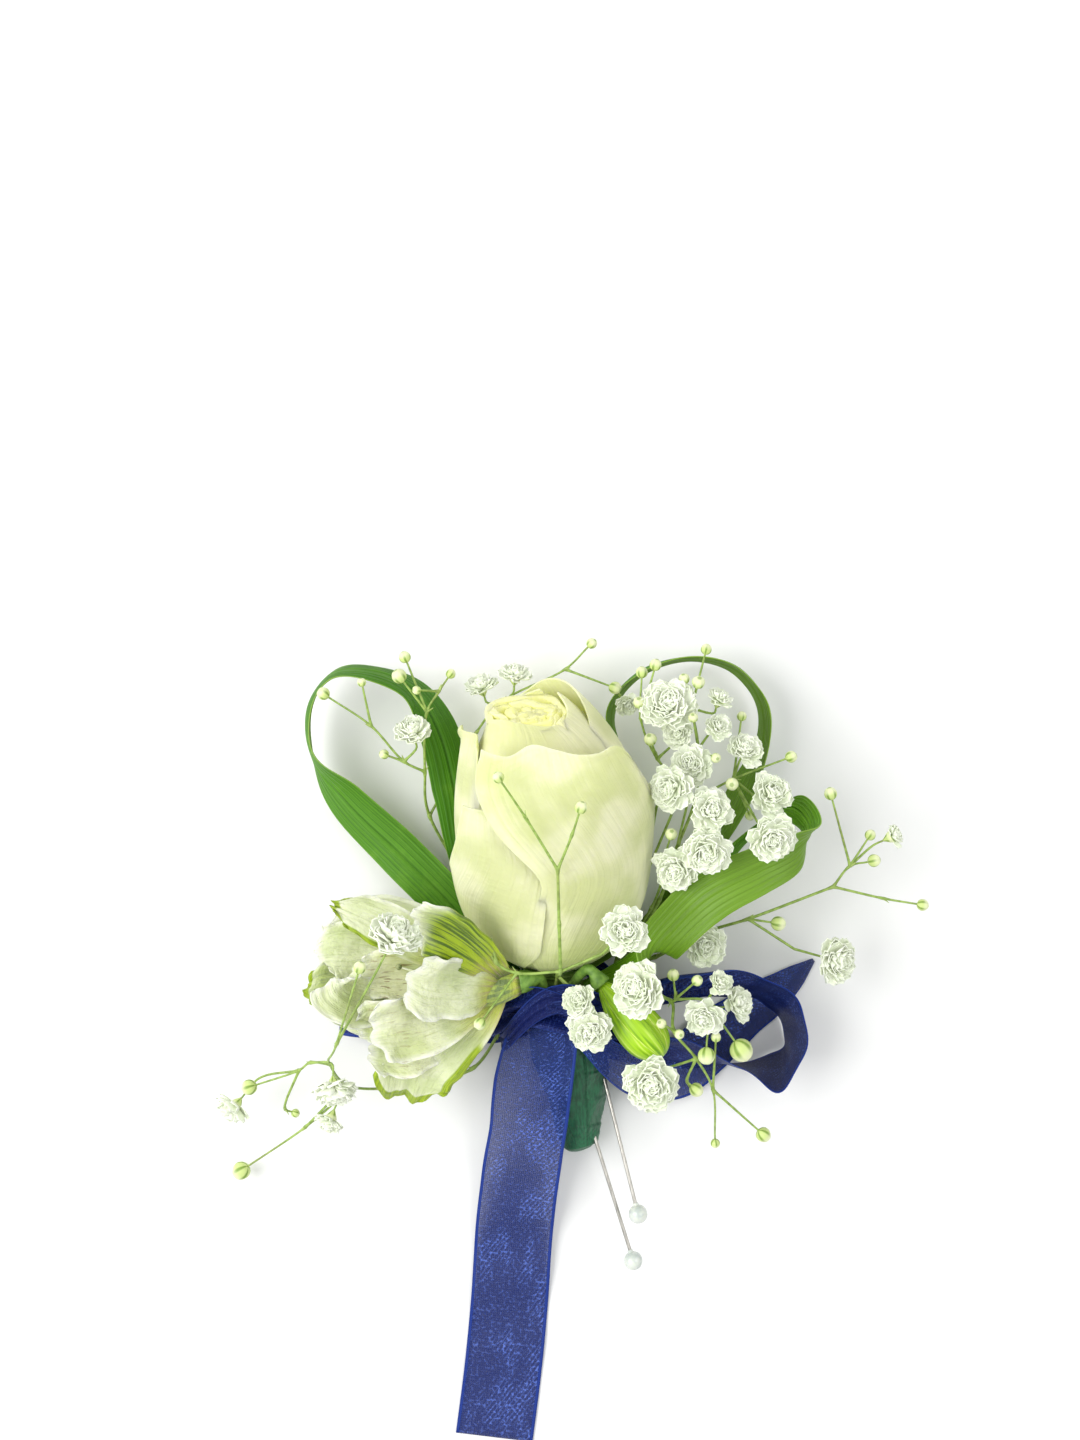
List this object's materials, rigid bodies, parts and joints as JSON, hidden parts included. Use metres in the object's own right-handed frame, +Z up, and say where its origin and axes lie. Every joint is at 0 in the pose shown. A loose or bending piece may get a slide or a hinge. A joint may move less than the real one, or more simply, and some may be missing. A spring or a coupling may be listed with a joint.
{
  "type": "boutonniere",
  "caption": "Boutonniere lying on its back: a cream rose, a white lily-like bloom, baby's breath and looped grass leaves bound in tape, with a ribbon bow and pins.",
  "frame": {"origin": "on the small flat under the taped stem, on the surface that the boutonniere lies on", "axes": "+Z up away from the surface, +Y from the foot of the bound stem to the rose, +X to the right seen from above"},
  "size_m": [0.1426, 0.166, 0.0486],
  "materials": {
    "rose_petals": "soft satin petal",
    "stem_green": "smooth green stem",
    "grass_leaf": "ribbed satin leaf",
    "twig_green": "thin green twig",
    "gypsophila_bloom": "matte petal",
    "alstroemeria_tepals": "satin petal",
    "bud_green": "satin bud",
    "floral_tape": "waxed crepe",
    "ribbon": "sheer organza",
    "pin_steel": "bright steel",
    "pearl": "pearl gloss"
  },
  "bodies": {
    "root": {"alstroemeria_bloom": "alstroemeria_tepals", "alstroemeria_bud": "bud_green", "alstroemeria_bud_stalk": "stem_green", "alstroemeria_stalk": "stem_green", "bloom_01": "gypsophila_bloom", "bloom_02": "gypsophila_bloom", "bloom_03": "gypsophila_bloom", "bloom_04": "gypsophila_bloom", "bloom_05": "gypsophila_bloom", "bloom_06": "gypsophila_bloom", "bloom_07": "gypsophila_bloom", "bloom_08": "gypsophila_bloom", "bloom_09": "gypsophila_bloom", "bloom_10": "gypsophila_bloom", "bloom_11": "gypsophila_bloom", "bloom_12": "gypsophila_bloom", "bloom_13": "gypsophila_bloom", "bloom_14": "gypsophila_bloom", "bloom_15": "gypsophila_bloom", "bloom_16": "gypsophila_bloom", "bloom_17": "gypsophila_bloom", "bloom_18": "gypsophila_bloom", "bloom_19": "gypsophila_bloom", "bloom_20": "gypsophila_bloom", "bloom_21": "gypsophila_bloom", "bloom_22": "gypsophila_bloom", "bloom_23": "gypsophila_bloom", "bloom_24": "gypsophila_bloom", "bloom_25": "gypsophila_bloom", "bloom_26": "gypsophila_bloom", "bloom_27": "gypsophila_bloom", "bloom_28": "gypsophila_bloom", "bloom_29": "gypsophila_bloom", "bloom_30": "gypsophila_bloom", "leaf_left": "grass_leaf", "leaf_right": "grass_leaf", "leaf_top": "grass_leaf", "pearl_lower": "pearl", "pearl_upper": "pearl", "pin_lower": "pin_steel", "pin_upper": "pin_steel", "ribbon_bow": "ribbon", "rose_bloom": "rose_petals", "rose_calyx_and_stem": "stem_green", "sprig_far": "twig_green", "sprig_front": "twig_green", "sprig_lower_left": "twig_green", "sprig_lower_right": "twig_green", "sprig_right": "twig_green", "sprig_top_left": "twig_green", "stem_tape": "floral_tape"}
  },
  "joints": []
}
